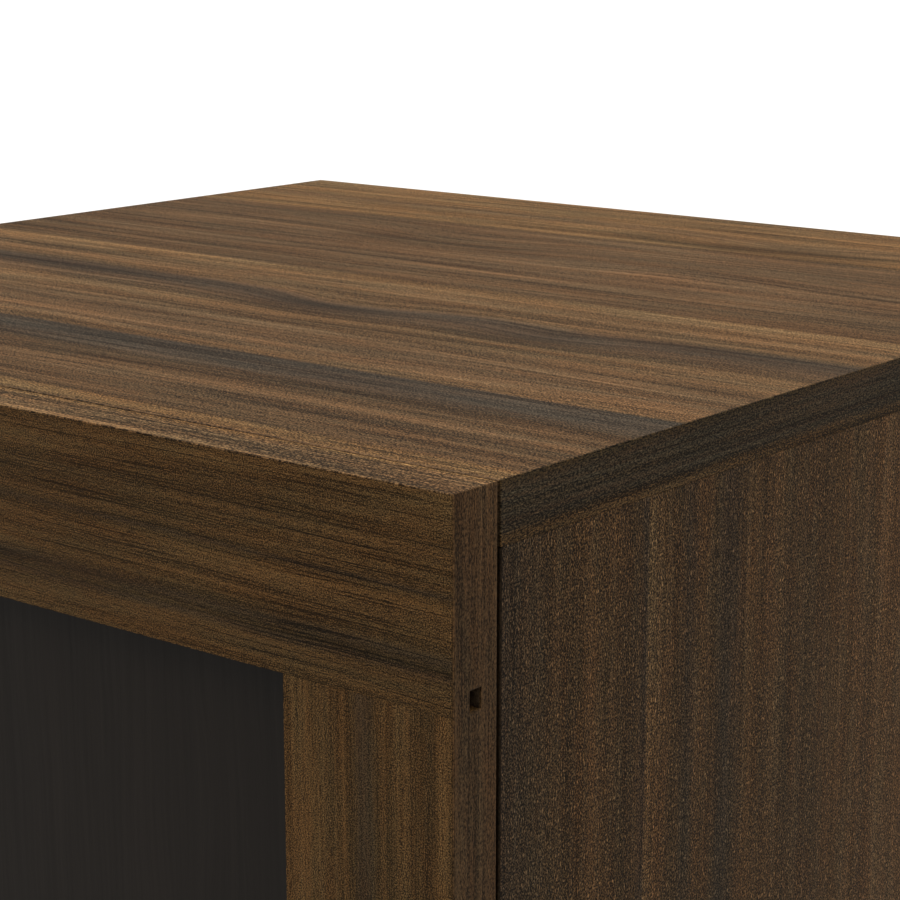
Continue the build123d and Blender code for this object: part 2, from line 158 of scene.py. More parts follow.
def between(tree, value, low, high, start=0.0, end=1.0):
    """Moves a value from the range low..high to start..end, with soft ends."""
    inputs = {"Value": value, 1: low, 2: high, 3: start, 4: end}
    made = add(tree, "ShaderNodeMapRange", inputs, interpolation_type="SMOOTHSTEP")
    return made.outputs["Result"]


def new_group(name, inputs, outputs):
    """A shader node group, with its sockets made from (name, type, default) and (name, type)."""
    group = bpy.data.node_groups.new(name, "ShaderNodeTree")
    for label, kind, default in inputs:
        socket = group.interface.new_socket(label, in_out="INPUT", socket_type=kind)
        socket.default_value = default
    for label, kind in outputs:
        group.interface.new_socket(label, in_out="OUTPUT", socket_type=kind)
    start = group.nodes.new("NodeGroupInput")
    end = group.nodes.new("NodeGroupOutput")
    return group, start.outputs, end.inputs


def use(tree, group, inputs):
    made = tree.nodes.new("ShaderNodeGroup")
    made.node_tree = group
    for key, value in inputs.items():
        put(tree, made.inputs[key], value)
    return made.outputs


FLOAT, VECTOR, COLOR = "NodeSocketFloat", "NodeSocketVector", "NodeSocketColor"

# %% [markdown]
# ## Studio
# The room is as plain as it can be: a pale floor, a white distance and soft light from above, so
# that the top of the unit is bright and its upright faces are quiet. The sky is brighter overhead
# than at the horizon. A polished face seen at a low angle mirrors the horizon, so a dim horizon
# keeps the dark wood from looking milky. The floor shows pale to the camera, but what it sends back
# up on to the unit is held down, as a photographer does with dark cards.

# %% Sky
scene = bpy.context.scene
scene.view_settings.view_transform = "Standard"
world = bpy.data.worlds.new("studio_sky")
world.use_nodes = True
scene.world = world
sky = world.node_tree
sky.nodes.clear()
zenith, horizon = 1.10, 0.04
position = add(sky, "ShaderNodeTexCoord").outputs["Generated"]
height = add(sky, "ShaderNodeSeparateXYZ", {0: position}).outputs["Z"]
dome = between(sky, height, 0.2, 0.95, horizon, zenith)
seen = add(sky, "ShaderNodeLightPath").outputs["Is Camera Ray"]
white_distance = add(sky, "ShaderNodeBackground", {"Color": (1, 1, 1, 1), "Strength": 1.0})
lighting = add(sky, "ShaderNodeBackground", {"Color": (1.0, 0.99, 0.975, 1), "Strength": dome})
chosen = add(sky, "ShaderNodeMixShader", {0: seen, 1: lighting.outputs[0], 2: white_distance.outputs[0]})
add(sky, "ShaderNodeOutputWorld", {"Surface": chosen.outputs[0]})
print("Sky from", horizon, "at the horizon to", zenith, "overhead")

# %% Key light
key_data = bpy.data.lights.new("key", "SUN")
key_data.energy = 1.25
key_data.angle = math.radians(50)
key_data.color = (1.0, 0.99, 0.97)
key = bpy.data.objects.new("key", key_data)
scene.collection.objects.link(key)
key.rotation_euler = Vector((0.25, 0.35, -1.0)).to_track_quat("-Z", "Y").to_euler()

# %% Floor
floor_reach = 12.0
floor_mesh = bmesh.new()
bmesh.ops.create_circle(floor_mesh, cap_ends=True, segments=96, radius=floor_reach)
floor_data = bpy.data.meshes.new("floor")
floor_mesh.to_mesh(floor_data)
floor_mesh.free()
floor = bpy.data.objects.new("floor", floor_data)
scene.collection.objects.link(floor)

floor_finish = bpy.data.materials.new("pale_floor")
floor_finish.use_nodes = True
tree = floor_finish.node_tree
tree.nodes.clear()
place = add(tree, "ShaderNodeTexCoord").outputs["Object"]
mottle = noise(tree, place, (3.0, 3.0, 3.0), 3.0)
pale = between(tree, mottle, 0.3, 0.7, 0.90, 0.93)
pale_colour = add(tree, "ShaderNodeCombineColor", {0: pale, 1: pale, 2: pale}).outputs[0]
seen = add(tree, "ShaderNodeLightPath").outputs["Is Camera Ray"]
card = add(tree, "ShaderNodeBsdfDiffuse", {"Color": (0.35, 0.345, 0.335, 1)}).outputs[0]
paper = add(tree, "ShaderNodeBsdfDiffuse", {"Color": pale_colour}).outputs[0]
glow = add(tree, "ShaderNodeEmission", {"Color": (1, 1, 1, 1), "Strength": 0.16}).outputs[0]
lit_paper = add(tree, "ShaderNodeAddShader", {0: paper, 1: glow}).outputs[0]
surface = add(tree, "ShaderNodeMixShader", {0: seen, 1: card, 2: lit_paper}).outputs[0]
add(tree, "ShaderNodeOutputMaterial", {"Surface": surface})
floor_data.materials.append(floor_finish)

# %% [markdown]
# ## Walnut, part one: where a line of grain runs
# Printed walnut is a picture of sawn veneer leaves. Each leaf is a run of strips, and every strip
# and hairline follows the same flow. So the flow comes first: a place on the board, in millimetres
# along, across and through the grain, is pushed sideways by slow noise, and then by a few figures.
# A figure is a smooth hump. Push bends the lines round a knot, open spreads them into an eye, and
# shade darkens the middle. All of it only changes the across number, so the tones, the hairlines
# and the pores that read it later bend together, as they do in a real leaf.

# %% Grain flow group
tree, given, result = new_group(
    "grain_flow",
    [("Place", VECTOR, (0, 0, 0)), ("Wander", FLOAT, 6.0), ("Bend", FLOAT, 0.0), ("Freedom", FLOAT, 1.0)],
    [("Flow", VECTOR), ("Across", FLOAT)],
)
slow = noise(tree, given["Place"], (0.0045, 0.011, 0.02), 2.0)
quick = noise(tree, given["Place"], (0.02, 0.08, 0.05), 2.0)
slow_push = maths(tree, "MULTIPLY", maths(tree, "SUBTRACT", slow, 0.5), 2.0)
quick_push = maths(tree, "MULTIPLY", maths(tree, "SUBTRACT", quick, 0.5), 0.4)
push = maths(tree, "MULTIPLY", maths(tree, "ADD", slow_push, quick_push), given["Wander"])
parts = add(tree, "ShaderNodeSeparateXYZ", {0: given["Place"]}).outputs
bent = maths(tree, "ADD", push, given["Bend"])
across = maths(tree, "MULTIPLY_ADD", bent, given["Freedom"], parts[1])
flow = add(tree, "ShaderNodeCombineXYZ", {0: parts[0], 1: across, 2: parts[2]}).outputs[0]
put(tree, result["Flow"], flow)
put(tree, result["Across"], across)
grain_flow = tree

# %% Figure group
tree, given, result = new_group(
    "grain_figure",
    [
        ("Place", VECTOR, (0, 0, 0)), ("Centre", VECTOR, (0, 0, 0)), ("Reach", VECTOR, (40, 20, 1)),
        ("Push", FLOAT, 0.0), ("Open", FLOAT, 0.0), ("Shade", FLOAT, 0.0),
    ],
    [("Bend", FLOAT), ("Shade", FLOAT)],
)
offset = vector_maths(tree, "SUBTRACT", given["Place"], given["Centre"])
shared = vector_maths(tree, "DIVIDE", offset, given["Reach"])
parts = add(tree, "ShaderNodeSeparateXYZ", {0: shared}).outputs
square = maths(tree, "ADD", maths(tree, "POWER", maths(tree, "ABSOLUTE", parts[0]), 2.0),
               maths(tree, "POWER", maths(tree, "ABSOLUTE", parts[1]), 2.0))
hump = maths(tree, "EXPONENT", maths(tree, "MULTIPLY", square, -1.0))
sideways = maths(tree, "MULTIPLY_ADD", parts[1], given["Open"], given["Push"])
put(tree, result["Bend"], maths(tree, "MULTIPLY", sideways, hump))
put(tree, result["Shade"], maths(tree, "MULTIPLY", given["Shade"], hump))
figure = tree

# %% [markdown]
# ## Leaf joints
# Two leaves are jointed with a guillotine, so the line between them is dead straight whatever the
# grain does on either side. Near a joint the lines therefore lose their freedom to bend. This group
# says how free they are: nothing at the joint, everything a few millimetres away.

# %% Leaf joint group
tree, given, result = new_group(
    "leaf_joint",
    [("Place", VECTOR, (0, 0, 0)), ("Joint", FLOAT, 0.0), ("Fade", FLOAT, 8.0), ("Freedom", FLOAT, 1.0)],
    [("Freedom", FLOAT)],
)
parts = add(tree, "ShaderNodeSeparateXYZ", {0: given["Place"]}).outputs
distance = maths(tree, "DIVIDE", maths(tree, "SUBTRACT", parts[1], given["Joint"]), given["Fade"])
square = maths(tree, "POWER", maths(tree, "ABSOLUTE", distance), 2.0)
held = maths(tree, "EXPONENT", maths(tree, "MULTIPLY", square, -1.0))
free = maths(tree, "MULTIPLY", maths(tree, "SUBTRACT", 1.0, held), given["Freedom"])
put(tree, result["Freedom"], free)
leaf_joint = tree

# %% [markdown]
# ## Walnut, part two: what a line of grain looks like
# Along the flow lie broad growth bands, hairlines about a millimetre and a half apart, finer
# fibres, dark pores like short pencil strokes, and pale flecks. The flecks are painted highlights in
# the colour, standing in for the glints of the embossed press plate, with a little real relief.
# They are the same noise at different stretches, kept in one group so that every walnut board
# shares them. The strip's own colour comes in from the board, because each board is cut from a
# different place in the tree.

# %% Walnut surface group
tree, given, result = new_group(
    "walnut_surface",
    [
        ("Place", VECTOR, (0, 0, 0)), ("Flow", VECTOR, (0, 0, 0)), ("Strip", COLOR, (0.1, 0.06, 0.03, 1)),
        ("Shade", FLOAT, 0.0), ("Lines", FLOAT, 1.0), ("Speckle", FLOAT, 1.0), ("Pores", FLOAT, 1.0),
        ("Painted Glints", FLOAT, 1.0), ("Grit", VECTOR, (1.3, 2.4, 1.3)), ("Threads", FLOAT, 1.0),
    ],
    [("Color", COLOR), ("Roughness", FLOAT), ("Height", FLOAT)],
)
walnut_surface = tree
flow = given["Flow"]
growth = noise(tree, flow, (0.004, 0.13, 0.03), 3.0, 0.6)
hairs = noise(tree, flow, (0.008, 0.42, 0.05), 4.0, 0.75)
fibres = noise(tree, flow, (0.30, 1.9, 0.7), 2.0, 0.7)
speck = noise(tree, given["Place"], given["Grit"], 1.0, 0.7)
threads = between(tree, noise(tree, flow, (0.014, 2.6, 0.2), 1.0), 0.58, 0.64)
pores = between(tree, noise(tree, flow, (0.35, 2.4, 1.2), 1.0), 0.54, 0.66)
elsewhere = vector_maths(tree, "ADD", flow, (410.0, 70.0, 13.0))
# The pale flecks are painted highlights in the colour, standing in for the glints of the embossed press
# plate. In the height they are real relief.
glint_flecks = between(tree, noise(tree, elsewhere, (0.7, 2.4, 1.3), 1.0), 0.60, 0.72)
grain = 0.0
for field, strength in ((growth, 1.8), (hairs, 2.1), (fibres, 1.7)):
    grain = maths(tree, "MULTIPLY_ADD", maths(tree, "SUBTRACT", field, 0.5), strength, grain)
weighed = maths(tree, "MULTIPLY", threads, given["Threads"])
grain = maths(tree, "MULTIPLY_ADD", weighed, -0.35, grain)
light = maths(tree, "MULTIPLY_ADD", grain, given["Lines"], 1.0)
centred_speck = maths(tree, "SUBTRACT", speck, 0.5)
# Speckle and pores vary the tone, and the flecks add painted glints.
for field, weight, strength in (
    (centred_speck, "Speckle", 4.0), (pores, "Pores", -0.40), (glint_flecks, "Painted Glints", 0.60),
):
    weighed = maths(tree, "MULTIPLY", field, given[weight])
    light = maths(tree, "MULTIPLY_ADD", weighed, strength, light)
light = maths(tree, "MULTIPLY", light, maths(tree, "SUBTRACT", 1.0, given["Shade"]))
light = maths(tree, "MAXIMUM", light, 0.20)
warmth = between(tree, noise(tree, flow, (0.014, 0.09, 0.03), 4.0, 0.8), 0.35, 0.65)
red_cast, grey_cast = (1.06, 0.975, 0.90, 1), (0.95, 1.02, 1.06, 1)
tint = add(tree, "ShaderNodeMix", {0: warmth, 6: red_cast, 7: grey_cast}, data_type="RGBA").outputs[2]
put(tree, result["Color"], scaled(tree, vector_maths(tree, "MULTIPLY", given["Strip"], tint), light))
put(tree, result["Roughness"], between(tree, hairs, 0.3, 0.7, 0.50, 0.40))
relief = maths(tree, "SUBTRACT", maths(tree, "MULTIPLY", glint_flecks, 0.5), pores)
put(tree, result["Height"], maths(tree, "MULTIPLY_ADD", fibres, 0.25, relief))

# %% [markdown]
# ## Walnut, part three: the board's own strips
# A board's finish lists its strips from one edge to the other by name, as a maker would call them
# out: gold, then brown, a dark line, then tan. A colour ramp holds that list. Two entries close
# together make the crisp joint between two leaves, and two far apart make a slow change.

# %% Named tones
TONES = {
    "black": (0.030, 0.019, 0.010),
    "dark": (0.060, 0.037, 0.019),
    "plum": (0.066, 0.041, 0.026),
    "slate": (0.070, 0.050, 0.034),
    "cocoa": (0.076, 0.049, 0.030),
    "brown": (0.096, 0.056, 0.028),
    "umber": (0.112, 0.062, 0.029),
    "russet": (0.121, 0.068, 0.033),
    "mid": (0.130, 0.074, 0.036),
    "fawn": (0.149, 0.083, 0.040),
    "tan": (0.165, 0.093, 0.043),
    "gold": (0.190, 0.104, 0.043),
    "light": (0.208, 0.118, 0.052),
}
AXIS = {"X": 0, "Y": 1, "Z": 2}


def grain_place(tree, start, grain):
    """A point on the board in millimetres along, across and through the grain, from its start."""
    position = add(tree, "ShaderNodeTexCoord").outputs["Object"]
    mapping = add(tree, "ShaderNodeMapping", {
        "Vector": position, "Location": tuple(-start / MM), "Scale": (1 / MM, 1 / MM, 1 / MM),
    })
    parts = add(tree, "ShaderNodeSeparateXYZ", {0: mapping.outputs[0]}).outputs
    ordered = {number: parts[AXIS[letter]] for number, letter in enumerate(grain)}
    return add(tree, "ShaderNodeCombineXYZ", ordered).outputs[0]


def called_out(text):
    """Strip places across the grain, in millimetres, with their tones, as (place, tone) pairs."""
    pairs = [entry.split() for entry in text.split(",")]
    return [(float(place), tone) for place, tone in pairs]


def strip_colours(tree, across, strips):
    """The strips' colours, read at a place across the board."""
    low, high = strips[0][0], strips[-1][0]
    share = add(tree, "ShaderNodeMapRange", {"Value": across, 1: low, 2: high}).outputs["Result"]
    return ramp(tree, share, [((place - low) / (high - low), TONES[tone]) for place, tone in strips])


def principled(name):
    """A new material with a plain Principled surface, ready for its graph."""
    material = bpy.data.materials.new(name)
    material.use_nodes = True
    tree = material.node_tree
    tree.nodes.clear()
    surface = add(tree, "ShaderNodeBsdfPrincipled")
    add(tree, "ShaderNodeOutputMaterial", {"Surface": surface.outputs[0]})
    return material, tree, surface.inputs


def raise_surface(tree, sockets, height, depth):
    """Lets a height field, given in shares of a depth in metres, catch the light."""
    inputs = {"Height": height, "Distance": depth, "Strength": 1.0}
    put(tree, sockets["Normal"], add(tree, "ShaderNodeBump", inputs).outputs[0])


def walnut(name, start, grain, strips, figures=(), joints=(), wander=6.0, lines=1.0, speckle=1.0,
           pores=1.0, glint_flecks=1.0, relief=0.05, grit=(1.3, 2.4, 1.3), threads=1.0, cast=(1, 1, 1)):
    """A walnut finish for one board or band. cast multiplies its strips' colours."""
    material, tree, sockets = principled("walnut_" + name)
    place = grain_place(tree, start, grain)
    bend = shade = 0.0
    freedom = 1.0
    for joint in joints:
        freedom = use(tree, leaf_joint, {"Place": place, "Joint": joint, "Freedom": freedom})["Freedom"]
    for x, y, reach_x, reach_y, push, spread, dark in figures:
        hump = use(tree, figure, {
            "Place": place, "Centre": (x, y, 0.0), "Reach": (reach_x, reach_y, 1e6),
            "Push": push, "Open": spread, "Shade": dark,
        })
        bend = maths(tree, "ADD", hump["Bend"], bend)
        shade = maths(tree, "ADD", hump["Shade"], shade)
    flow = use(tree, grain_flow, {"Place": place, "Wander": wander, "Bend": bend, "Freedom": freedom})
    strip = strip_colours(tree, flow["Across"], strips)
    surface = use(tree, walnut_surface, {
        "Place": place, "Flow": flow["Flow"], "Strip": vector_maths(tree, "MULTIPLY", strip, cast),
        "Shade": shade, "Lines": lines, "Speckle": speckle, "Pores": pores, "Painted Glints": glint_flecks,
        "Grit": grit, "Threads": threads,
    })
    put(tree, sockets["Base Color"], surface["Color"])
    put(tree, sockets["Roughness"], surface["Roughness"])
    sockets["Specular IOR Level"].default_value = 0.10
    raise_surface(tree, sockets, surface["Height"], relief * MM)
    print("Walnut", name, "has", len(strips), "strip places and", len(figures), "figures")
    return material


# %% [markdown]
# ## The top panel's leaf
# The top is the face that everybody sees. Its grain runs from side to side, so its strips are named
# from the front edge to the back. The figures are the leaf's features: a dark streak that dips
# forward in two places, two eyes that face each other, and dark patches near the back. Each is a
# centre, its reach along and across the grain in millimetres, its push, its open and its shade.

# %% Top panel finish
top_strips = called_out("""
    16 gold, 23.8 gold, 24.4 umber, 36 umber, 50 mid, 55 umber, 66 brown, 71 cocoa, 77 slate,
    87.6 slate, 88.2 tan, 100 fawn, 122 mid, 136 tan, 147 tan, 151 mid, 165 cocoa, 173 cocoa, 178 tan,
    194 tan, 211.2 light, 211.8 umber, 238 mid, 248 russet, 262 fawn, 290 mid, 330.7 mid, 331.3 gold,
    352 gold, 364 tan, 374 gold, 404 light
""")
top_figures = [
    (-174, 160, 38, 18, 11, 0, 0.05),
    (-178, 158, 28, 7, 0, 0, 0.36),
    (-92, 158, 32, 15, 9, 0, 0.05),
    (-94, 153, 26, 6, 0, 0, 0.32),
    (-42, 171, 36, 5, 0, 0, 0.30),
    (-300, 170, 90, 4, 0, 0, 0.18),
    (-131, 138, 34, 3, 0, 0, 0.28),
    (-245, 108, 52, 13, 0, 8, -0.08),
    (-17, 108, 52, 13, 0, 8, -0.08),
    (-301, 201, 14, 4, 0, 2, 0.40),
    (-131, 284, 62, 15, -9, 0, -0.05),
    (-235, 297, 46, 20, 12, 0, 0.0),
    (-262, 286, 19, 7, 0, 0, 0.40),
    (-217, 285, 26, 4.5, 0, 0, 0.40),
    (-131, 349, 40, 17, 10, 0, 0.0),
    (-146, 341, 26, 8, 0, 0, 0.46),
    (-112, 347, 26, 7, 0, 0, 0.46),
    (-186, 350, 16, 7, 0, 0, 0.30),
]
leaf_joints = (24, 88, 211.5, 331)
top_finish = walnut("top", corner, "XYZ", top_strips, top_figures, leaf_joints,
                    wander=3.0, lines=1.5, speckle=1.9, pores=1.0, grit=(2.0, 1.7, 1.2), threads=1.2,
                    cast=(1.03, 1.03, 0.98))

# %% [markdown]
# ## The other visible leaves
# The rail's grain runs along it, the stile's and the side panel's run upright, and each edge band is
# a narrow ribbon with its own print. A rail meets a stile with nothing between them but the change
# of grain, so their strips must differ. The side panel is pressed with the deepest texture, and it
# carries the strongest painted glints.

# %% Front and side finishes
rail_strips = called_out("""
    -50 brown, -47.5 umber, -45.5 brown, -42.5 brown, -40.5 plum, -39.5 dark, -37 plum, -35 brown,
    -33 umber, -30 russet, -27 russet, -25 umber, -23.5 brown, -22.5 plum, -21.4 brown, -19.5 russet,
    -18 mid, -16.6 umber, -15.4 brown, -13.5 russet, -12.4 brown, -10.4 umber, -8.5 russet, -5.5 russet,
    -4.5 umber, -3 mid, -1.5 umber, 0 umber
""")
stile_strips = called_out("""
    -50 umber, -48.5 umber, -46.5 mid, -43.5 russet, -41 umber, -36 russet, -33 umber, -30.5 umber,
    -29 brown, -27 plum, -25 plum, -23.5 cocoa, -22 brown, -20.5 russet, -19 umber, -16.5 mid,
    -13.5 mid, -11 russet, -9 umber, -7.5 brown, -6.3 brown, -5 mid, -3.5 fawn, -2 mid, 0 brown
""")
side_strips = called_out("""
    15 plum, 18.5 cocoa, 36 brown, 43 umber, 52 umber, 70 brown, 72 plum, 73.5 plum, 74.2 tan, 79 fawn,
    80.5 umber, 88.5 brown, 91.5 cocoa, 97 umber, 104 brown, 107 cocoa, 110 cocoa, 119 umber, 127 umber,
    133.5 mid, 136.5 mid, 139.5 brown, 152 russet, 157.5 brown, 166 umber, 192 fawn, 230 umber,
    252 cocoa, 256 fawn, 290 mid, 326 cocoa, 404 russet
""")
band_strips = called_out("""
    0 umber, 2 umber, 3.3 mid, 4.6 mid, 5.6 russet, 6.9 umber, 7.6 umber, 8.2 mid, 9 mid, 10 russet,
    12 russet, 13.5 mid, 14.3 russet, 15 brown
""")
top_edge_strips = called_out("""
    -15 umber, -12.6 umber, -11.6 cocoa, -10.4 slate, -9.6 plum, -8 slate, -7.2 cocoa, -5.2 slate,
    -4.5 plum, -3.5 slate, -2.5 plum, -1 dark, 0 dark
""")
door_top_strips = called_out("""
    0 umber, 0.9 tan, 2 fawn, 4.2 fawn, 5.3 russet, 6.3 mid, 7 fawn, 9 mid, 10.5 mid, 11.7 fawn,
    12.9 tan, 13.5 gold, 15 gold
""")
front_cast = (1.02, 0.985, 0.74)
rail_finish = walnut("rail", corner, "XZY", rail_strips, wander=2.0, lines=1.05,
                     speckle=1.8, glint_flecks=0.3, grit=(2.6, 3.3, 1.3), threads=3.0, cast=front_cast)
stile_finish = walnut("stile", corner, "ZXY", stile_strips, wander=1.8, lines=0.9,
                      speckle=1.75, glint_flecks=0.3, grit=(2.6, 3.3, 1.3), threads=1.4, cast=front_cast)
# The side panel's flecks carry the strongest painted glints.
side_finish = walnut("side", corner, "ZYX", side_strips, wander=1.4,
                     lines=1.05, speckle=3.4, pores=2.2, glint_flecks=7.0, grit=(1.8, 2.7, 1.3),
                     relief=0.08, cast=(0.85, 0.845, 0.75))
band_finish = walnut("door_band", corner, "ZYX", band_strips, wander=1.0, lines=1.3,
                     speckle=0.9, pores=0.5, glint_flecks=0.3, relief=0.02, cast=(1.05, 1.02, 0.92))
top_edge_finish = walnut("top_edge", corner, "YZX", top_edge_strips, wander=0.8,
                         lines=1.4, speckle=2.1, glint_flecks=1.8, relief=0.04, cast=(0.89, 0.89, 0.73))
door_top_finish = walnut("door_top", corner, "XYZ", door_top_strips, wander=1.4,
                         lines=3.2, speckle=2.2, glint_flecks=0.8, threads=3.0, cast=(1.12, 1.12, 1.02))

# %% [markdown]
# ## Boards that the corner view doesn't reach
# The same leaves are used again for the other boards, started from another corner, so that no two
# boards repeat each other. Only the start moves: the noise and the strips do the rest. The carcass's
# front bands are the exception: their dark and black strips are painted shade for the gaps behind the door.

# %% Finishes for the other boards
base_finish = walnut("base", from_corner(-610, 0, -389), "XYZ", top_strips, wander=9.0)
left_finish = walnut("left", from_corner(-400, -7, 37), "ZYX", side_strips, wander=6.0,
                     speckle=1.3, pores=1.2, glint_flecks=2.6, relief=0.08)
low_rail_finish = walnut("low_rail", from_corner(-93, 0, -350), "XZY", rail_strips, wander=2.0,
                         lines=0.9, glint_flecks=0.3, threads=1.5, cast=front_cast)
left_stile_finish = walnut("left_stile", from_corner(-350, 0, 90), "ZXY", stile_strips,
                           wander=1.8, lines=0.8, glint_flecks=0.3, cast=front_cast)
left_band_finish = walnut("left_band", from_corner(-400, 0, 70), "ZYX", band_strips, wander=1.6,
                          speckle=0.7, pores=0.5, glint_flecks=0.3, relief=0.02)
# The carcass front bands sit in the gaps behind the door, and their tones are painted shade. They are dark
# all over, black at the uprights' outer edges, and tan only in the top millimetre of the top panel's band.
front_band_shade_strips = called_out("-400 dark, -1.2 dark, -0.5 tan, 0 tan")
front_band_shade_finish = walnut("front_band", corner, "XZY", front_band_shade_strips, wander=0.0,
                           speckle=0.7, pores=0.5, glint_flecks=0.3, relief=0.02)
upright_band_shade_strips = called_out("-400 black, -385 dark, -200 dark, -15 dark, 0 black")
upright_band_shade_finish = walnut("upright_band", corner, "ZXY", upright_band_shade_strips,
                             wander=3.0, speckle=0.7, pores=0.5, glint_flecks=0.3, relief=0.02)
base_edge_finish = walnut("base_edge", from_corner(0, 60, -385), "YZX", top_edge_strips,
                          wander=0.8, glint_flecks=0.8, relief=0.04)

# %% [markdown]
# ## The black panel
# The thin panel in the door is the same kind of board with a black print. Its grain is upright and
# can only just be seen, so it takes the flow group for its streaks and a smoother surface.

# %% Black panel finish
black_finish, tree, sockets = principled("black_grain")
place = grain_place(tree, from_corner(-350, 0, -30), "ZXY")
flow = use(tree, grain_flow, {"Place": place, "Wander": 9.0})
broad = noise(tree, flow["Flow"], (0.004, 0.05, 0.03), 3.0, 0.6)
fine = noise(tree, flow["Flow"], (0.012, 0.9, 0.1), 3.0, 0.6)
speck = noise(tree, flow["Flow"], (0.3, 2.6, 1.0), 1.0)
mixed = maths(tree, "MULTIPLY_ADD", fine, 0.35, maths(tree, "MULTIPLY", broad, 0.65))
panel_stops = [(0.32, (0.0094, 0.0064, 0.0045)), (0.70, (0.0195, 0.0135, 0.0095))]
put(tree, sockets["Base Color"], ramp(tree, mixed, panel_stops))
put(tree, sockets["Roughness"], between(tree, fine, 0.3, 0.7, 0.48, 0.40))
sockets["Specular IOR Level"].default_value = 0.3
raise_surface(tree, sockets, maths(tree, "ADD", fine, between(tree, speck, 0.5, 0.7)), 0.006 * MM)

# %% [markdown]
# ## Raw board
# Where no laminate covers it, the core shows: pressed wood chips. Cells of a stretched Voronoi
# pattern make the chips, each with its own tone, and a little noise roughens them. It is seen on
# the boards' back edges and inside the grooves.

# %% Chipboard finish
chip_finish, tree, sockets = principled("raw_chipboard")
place = grain_place(tree, corner, "XYZ")
stretched = vector_maths(tree, "MULTIPLY", place, (0.35, 0.9, 0.9))
chips = add(tree, "ShaderNodeTexVoronoi", {"Vector": stretched, "Scale": 1.0})
tones = add(tree, "ShaderNodeSeparateColor", {0: chips.outputs["Color"]}).outputs[0]
colour = ramp(tree, tones, [(0.0, (0.20, 0.125, 0.065)), (1.0, (0.46, 0.34, 0.21))])
dust = noise(tree, place, (2.5, 2.5, 2.5), 2.0)
put(tree, sockets["Base Color"], scaled(tree, colour, between(tree, dust, 0.3, 0.7, 0.75, 1.1)))
put(tree, sockets["Roughness"], between(tree, dust, 0.3, 0.7, 0.95, 0.8))
raise_surface(tree, sockets, maths(tree, "ADD", tones, dust), 0.15 * MM)

# %% Groove finish, darkened with painted shade
groove_shade_finish, tree, sockets = principled("groove_painted_shade")
place = grain_place(tree, corner, "XYZ")
fur = noise(tree, place, (1.2, 1.2, 1.2), 3.0, 0.7)
# The groove walls take dark brown tones as painted shade. They stand in for the dimness deep inside the
# rails' and stiles' grooves.
groove_shade_stops = [(0.35, (0.045, 0.029, 0.017)), (0.65, (0.130, 0.085, 0.048))]
put(tree, sockets["Base Color"], ramp(tree, fur, groove_shade_stops))
put(tree, sockets["Roughness"], between(tree, fur, 0.3, 0.7, 0.95, 0.85))
sockets["Specular IOR Level"].default_value = 0.1
raise_surface(tree, sockets, fur, 0.10 * MM)

# %% [markdown]
# ## Back board, metal, plastic and rubber
# The rest of the unit is plain stock: a thin back board with a matt brown face, cast zinc cams,
# plated steel, moulded plastic caps and glides, beech dowels, a ferrite magnet, clear bumpers and a
# powder-coated knob. One recipe serves them: a base colour that drifts a little, a fine texture at
# the scale of the process that made the surface, and a roughness that follows it.

# %% Simple stock finish
def stock(name, colour, drift, texture, roughness, metallic=0.0, relief=0.01, specular=0.5):
    """A finish from one colour, how much it drifts, and its texture's cycles in a millimetre."""
    material, tree, sockets = principled(name)
    place = grain_place(tree, corner, "XYZ")
    cloud = noise(tree, place, (0.05, 0.05, 0.05), 3.0)
    tooth = noise(tree, place, texture, 2.0, 0.6)
    light = maths(tree, "ADD", between(tree, cloud, 0.3, 0.7, 1 - drift, 1.0),
                  between(tree, tooth, 0.3, 0.7, -drift / 2, drift / 2))
    put(tree, sockets["Base Color"], scaled(tree, colour, light))
    put(tree, sockets["Roughness"], between(tree, tooth, 0.3, 0.7, roughness + 0.08, roughness - 0.08))
    sockets["Metallic"].default_value = metallic
    sockets["Specular IOR Level"].default_value = specular
    raise_surface(tree, sockets, tooth, relief * MM)
    return material


STOCK = {
    "back_board": stock("brown_hardboard", (0.105, 0.066, 0.038), 0.25, (0.4, 0.4, 0.05), 0.7, relief=0.04,
                        specular=0.3),
    "beech": stock("beech", (0.52, 0.34, 0.18), 0.2, (1.5, 1.5, 0.05), 0.7),
    "cast_zinc": stock("cast_zinc", (0.46, 0.47, 0.48), 0.25, (1.6, 1.6, 1.6), 0.45, 1.0, 0.03),
    "bright_steel": stock("bright_steel", (0.62, 0.63, 0.66), 0.12, (2.0, 2.0, 0.2), 0.28, 1.0),
    "hinge_steel": stock("nickel_steel", (0.52, 0.50, 0.46), 0.25, (3.0, 3.0, 0.15), 0.32, 1.0),
    "brown_plastic": stock("brown_plastic", (0.060, 0.036, 0.021), 0.2, (3.0, 3.0, 3.0), 0.45, relief=0.02),
    "grey_plastic": stock("grey_plastic", (0.26, 0.26, 0.25), 0.15, (3.0, 3.0, 3.0), 0.5, relief=0.02),
    "ferrite": stock("ferrite", (0.045, 0.045, 0.050), 0.3, (2.0, 2.0, 2.0), 0.55, relief=0.03),
    "black_metal": stock("black_powder_coat", (0.018, 0.018, 0.019), 0.2, (2.2, 2.2, 2.2), 0.42, relief=0.05),
    "clear_bumper": stock("clear_bumper", (0.70, 0.72, 0.72), 0.08, (1.0, 1.0, 1.0), 0.25),
}
print("Stock finishes:", sorted(STOCK))

# %% Finishes on the CAD nodes that stay
slot_of = {part["node"]: part["material_slot"] for part in frame["record"]["subparts"]}
for node, made in frame["nodes"].items():
    finish = STOCK.get(slot_of[node], chip_finish)
    made.data.materials.clear()
    made.data.materials.append(finish)

